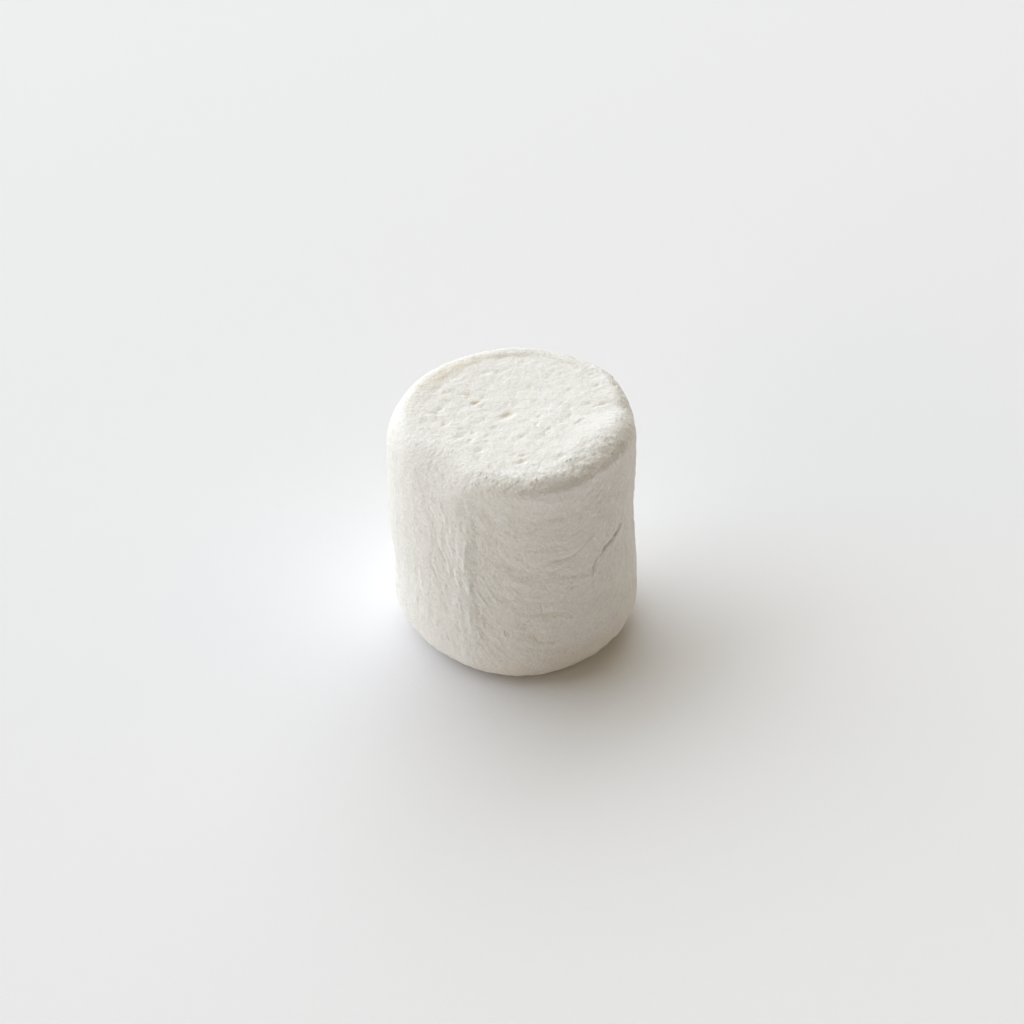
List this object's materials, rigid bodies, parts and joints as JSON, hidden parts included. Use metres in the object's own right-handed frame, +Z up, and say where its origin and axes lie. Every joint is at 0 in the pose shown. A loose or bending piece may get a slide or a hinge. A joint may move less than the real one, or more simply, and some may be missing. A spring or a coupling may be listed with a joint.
{
  "type": "marshmallow",
  "caption": "Plain white marshmallow: a short soft cylinder with a rolled rim, a rough cut top and a rounded foot, standing upright.",
  "frame": {"origin": "on the surface the marshmallow stands on, under the middle of its outline", "axes": "+Z up from the base to the cut top; +Y to the back, where the rim stands up as a lip; +X to the right, where the main crease is"},
  "size_m": [0.028, 0.028, 0.0278],
  "materials": {
    "starched_foam": "matte white sugar foam dusted with starch, warm in its hollows"
  },
  "bodies": {
    "root": {"marshmallow": "starched_foam"}
  },
  "joints": []
}
